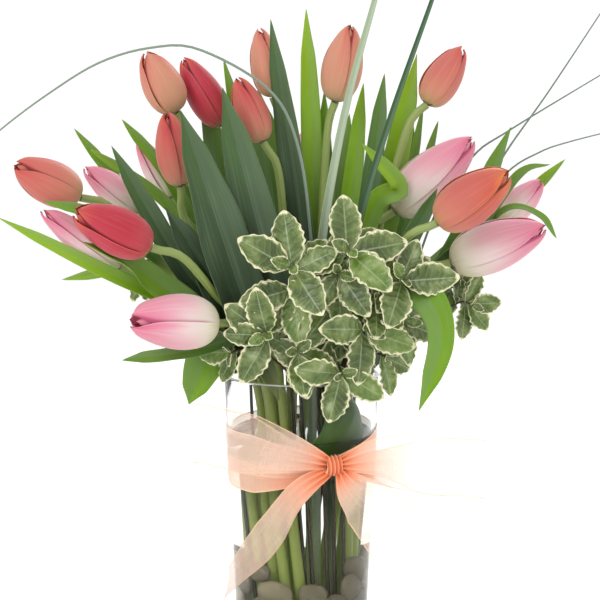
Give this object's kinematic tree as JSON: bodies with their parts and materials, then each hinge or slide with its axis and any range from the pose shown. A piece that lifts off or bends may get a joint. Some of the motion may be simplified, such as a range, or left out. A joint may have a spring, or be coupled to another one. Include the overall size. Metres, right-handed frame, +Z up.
{
  "type": "vase of tulips",
  "caption": "Bunch of cut tulips with pittosporum and grasses, standing in a clear glass vase with water and pebbles, tied with an organza bow.",
  "frame": {"origin": "centre of the vase's flat underside", "axes": "+Z up; -Y towards the front, where the bow is tied; +X to the right seen from the front"},
  "size_m": [0.4365, 0.2029, 0.4661],
  "materials": {
    "clear_glass": "clear pressed glass, polished",
    "river_pebble": "water-worn river stone, smooth and matt",
    "petal_coral": "waxy petal, soft satin",
    "petal_red": "waxy petal, soft satin",
    "petal_pink_white": "waxy petal, soft satin",
    "tulip_leaf": "waxy leaf with a grey bloom, satin",
    "grass_blade": "grass leaf, satin",
    "needle_grass": "wiry grass, matt",
    "pittosporum_leaf": "leathery variegated leaf, satin",
    "peach_organza": "sheer plain-weave organza with a light sheen"
  },
  "bodies": {
    "root": {"grass_arc": "grass_blade", "grass_dark": "grass_blade", "grass_pale": "grass_blade", "needle_grass_1": "needle_grass", "needle_grass_2": "needle_grass", "needle_grass_3": "needle_grass", "pebble_bed": "river_pebble", "ribbon_band": "peach_organza", "ribbon_bow": "peach_organza", "sprig_back_left": "pittosporum_leaf", "sprig_back_middle": "pittosporum_leaf", "sprig_back_right": "pittosporum_leaf", "sprig_front_left": "pittosporum_leaf", "sprig_front_middle": "pittosporum_leaf", "sprig_front_right": "pittosporum_leaf", "sprig_left": "pittosporum_leaf", "sprig_left_low": "pittosporum_leaf", "sprig_low": "pittosporum_leaf", "sprig_right": "pittosporum_leaf", "tulip_01_flower": "petal_coral", "tulip_01_stem": "tulip_leaf", "tulip_02_flower": "petal_red", "tulip_02_stem": "tulip_leaf", "tulip_03_flower": "petal_coral", "tulip_03_stem": "tulip_leaf", "tulip_04_flower": "petal_coral", "tulip_04_stem": "tulip_leaf", "tulip_05_flower": "petal_coral", "tulip_05_stem": "tulip_leaf", "tulip_06_flower": "petal_coral", "tulip_06_stem": "tulip_leaf", "tulip_07_flower": "petal_coral", "tulip_07_stem": "tulip_leaf", "tulip_08_flower": "petal_coral", "tulip_08_stem": "tulip_leaf", "tulip_09_flower": "petal_red", "tulip_09_stem": "tulip_leaf", "tulip_10_flower": "petal_pink_white", "tulip_10_stem": "tulip_leaf", "tulip_11_flower": "petal_pink_white", "tulip_11_stem": "tulip_leaf", "tulip_12_flower": "petal_pink_white", "tulip_12_stem": "tulip_leaf", "tulip_13_flower": "petal_pink_white", "tulip_13_stem": "tulip_leaf", "tulip_14_flower": "petal_pink_white", "tulip_14_stem": "tulip_leaf", "tulip_15_flower": "petal_coral", "tulip_15_stem": "tulip_leaf", "tulip_16_flower": "petal_pink_white", "tulip_16_stem": "tulip_leaf", "tulip_17_flower": "petal_pink_white", "tulip_17_stem": "tulip_leaf", "tulip_18_flower": "petal_coral", "tulip_18_stem": "tulip_leaf", "tulip_19_flower": "petal_pink_white", "tulip_19_stem": "tulip_leaf", "tulip_20_flower": "petal_red", "tulip_20_stem": "tulip_leaf", "vase": "clear_glass"}
  },
  "joints": []
}
